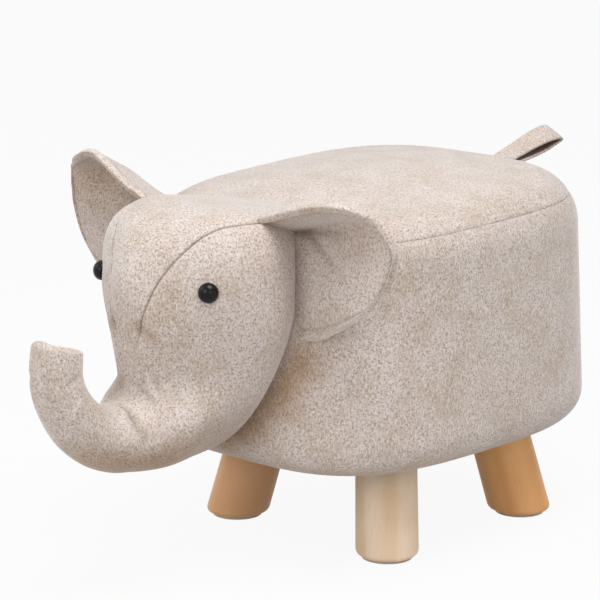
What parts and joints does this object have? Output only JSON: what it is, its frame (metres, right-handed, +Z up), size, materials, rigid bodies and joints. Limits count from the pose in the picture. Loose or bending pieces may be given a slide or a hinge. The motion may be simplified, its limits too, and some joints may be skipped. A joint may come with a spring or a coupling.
{
  "type": "animal footstool",
  "caption": "Padded cloth-covered footstool in the form of an elephant, with a stuffed head and trunk, cupped ears, a tail loop and splayed round wooden legs.",
  "frame": {"origin": "on the floor, under the middle of the whole footstool's box", "axes": "+Y from the trunk to the tail, so the animal looks along -Y; +X towards the animal's left side; +Z up"},
  "size_m": [0.3342, 0.5816, 0.3052],
  "materials": {
    "suede_cloth": "matt greige short-pile suede cloth",
    "foam": "open-cell foam",
    "fibre_filling": "loose polyester fibre",
    "plywood": "raw sawn board",
    "pine": "raw planed wood",
    "beech": "clear matt lacquer on turned wood",
    "hardboard": "smooth on one side",
    "zinc_steel": "bright zinc plate",
    "felt": "pressed felt",
    "dust_cloth": "black non-woven",
    "black_plastic": "polished",
    "washer_plastic": "moulded"
  },
  "bodies": {
    "stool": {"back_left_foot_pad": "felt", "back_left_hanger_bolt": "zinc_steel", "back_left_leg": "beech", "back_left_tee_nut": "zinc_steel", "back_lower_screw": "zinc_steel", "back_post": "pine", "back_right_foot_pad": "felt", "back_right_hanger_bolt": "zinc_steel", "back_right_leg": "beech", "back_right_tee_nut": "zinc_steel", "back_upper_screw": "zinc_steel", "base_board": "plywood", "dust_cover": "dust_cloth", "front_left_foot_pad": "felt", "front_left_hanger_bolt": "zinc_steel", "front_left_leg": "beech", "front_left_tee_nut": "zinc_steel", "front_lower_screw": "zinc_steel", "front_post": "pine", "front_right_foot_pad": "felt", "front_right_hanger_bolt": "zinc_steel", "front_right_leg": "beech", "front_right_tee_nut": "zinc_steel", "front_upper_screw": "zinc_steel", "head_cover": "suede_cloth", "head_stuffing": "fibre_filling", "left_eye": "black_plastic", "left_eye_washer": "washer_plastic", "left_lower_screw": "zinc_steel", "left_post": "pine", "left_upper_screw": "zinc_steel", "liner": "hardboard", "right_eye": "black_plastic", "right_eye_washer": "washer_plastic", "right_lower_screw": "zinc_steel", "right_post": "pine", "right_upper_screw": "zinc_steel", "seat_board": "plywood", "seat_cover": "suede_cloth", "seat_foam": "foam", "side_cover": "suede_cloth", "side_padding": "foam", "tail_loop": "suede_cloth", "trunk_stuffing": "fibre_filling"},
    "left_ear": {"left_ear": "suede_cloth"},
    "right_ear": {"right_ear": "suede_cloth"}
  },
  "joints": [
    {"name": "left_ear_flap", "type": "hinge", "parent": "stool", "child": "left_ear", "pos_m": [0.0719, -0.09734, 0.19], "axis": [0, 0, -1], "range_deg": [-8, 30], "stiffness_Nm_per_rad": 0.02, "deforming": ["left_ear"]},
    {"name": "right_ear_flap", "type": "hinge", "parent": "stool", "child": "right_ear", "pos_m": [-0.0721, -0.09734, 0.19], "axis": [0, 0, 1], "range_deg": [-8, 30], "stiffness_Nm_per_rad": 0.02, "deforming": ["right_ear"]}
  ]
}
